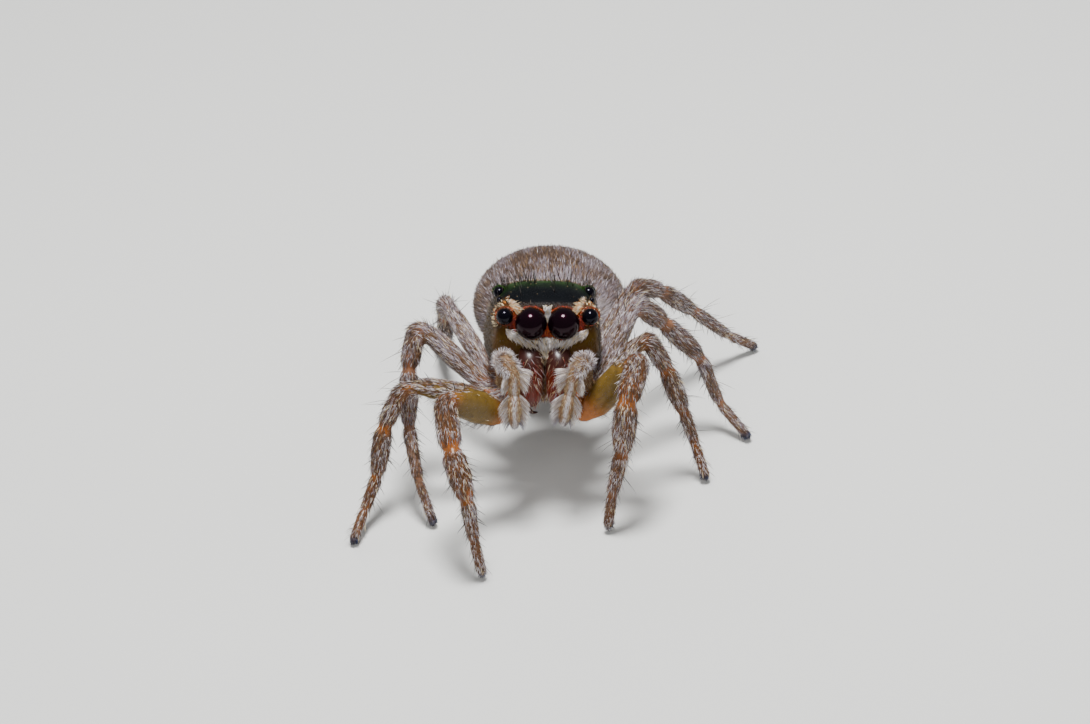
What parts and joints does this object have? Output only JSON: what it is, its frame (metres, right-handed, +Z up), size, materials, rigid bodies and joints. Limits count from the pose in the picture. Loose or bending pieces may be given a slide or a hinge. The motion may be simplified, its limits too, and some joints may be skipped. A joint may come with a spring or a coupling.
{
  "type": "jumping spider figure",
  "caption": "Life-size still model of a hairy jumping spider standing alert on all its feet, head raised, with large round front eyes.",
  "frame": {"origin": "on the floor, under the centre of the bounding box of the standing spider", "axes": "+Z up from the floor, -Y the way the spider faces, +X toward the spider's own left"},
  "size_m": [0.0112, 0.0122, 0.0055],
  "materials": {
    "shield": "dark glossy cuticle with short scales",
    "underside": "brown satin cuticle",
    "eye": "polished black lens",
    "jaw": "polished red-brown cuticle",
    "fang": "polished dark brown cuticle",
    "palp": "tan cuticle with long white plumes",
    "thigh": "olive-tan satin cuticle",
    "leg": "amber-brown cuticle under white and grey hair",
    "hind": "soft grey-brown hair"
  },
  "bodies": {
    "root": {"front_body_shield": "shield", "sternum": "underside", "mouthparts": "underside", "waist": "underside", "hind_body": "hind", "spinnerets": "hind", "eye_front_middle_left": "eye", "eye_front_side_left": "eye", "eye_small_left": "eye", "eye_rear_left": "eye", "jaw_left": "jaw", "fang_left": "fang", "palp_left_upper": "palp", "palp_left_lower": "palp", "leg_1_left_thigh": "thigh", "leg_1_left_patella": "leg", "leg_1_left_tibia": "leg", "leg_1_left_foot": "leg", "leg_2_left_thigh": "leg", "leg_2_left_patella": "leg", "leg_2_left_tibia": "leg", "leg_2_left_foot": "leg", "leg_3_left_thigh": "leg", "leg_3_left_patella": "leg", "leg_3_left_tibia": "leg", "leg_3_left_foot": "leg", "leg_4_left_thigh": "leg", "leg_4_left_patella": "leg", "leg_4_left_tibia": "leg", "leg_4_left_foot": "leg", "eye_front_middle_right": "eye", "eye_front_side_right": "eye", "eye_small_right": "eye", "eye_rear_right": "eye", "jaw_right": "jaw", "fang_right": "fang", "palp_right_upper": "palp", "palp_right_lower": "palp", "leg_1_right_thigh": "thigh", "leg_1_right_patella": "leg", "leg_1_right_tibia": "leg", "leg_1_right_foot": "leg", "leg_2_right_thigh": "leg", "leg_2_right_patella": "leg", "leg_2_right_tibia": "leg", "leg_2_right_foot": "leg", "leg_3_right_thigh": "leg", "leg_3_right_patella": "leg", "leg_3_right_tibia": "leg", "leg_3_right_foot": "leg", "leg_4_right_thigh": "leg", "leg_4_right_patella": "leg", "leg_4_right_tibia": "leg", "leg_4_right_foot": "leg"}
  },
  "joints": []
}
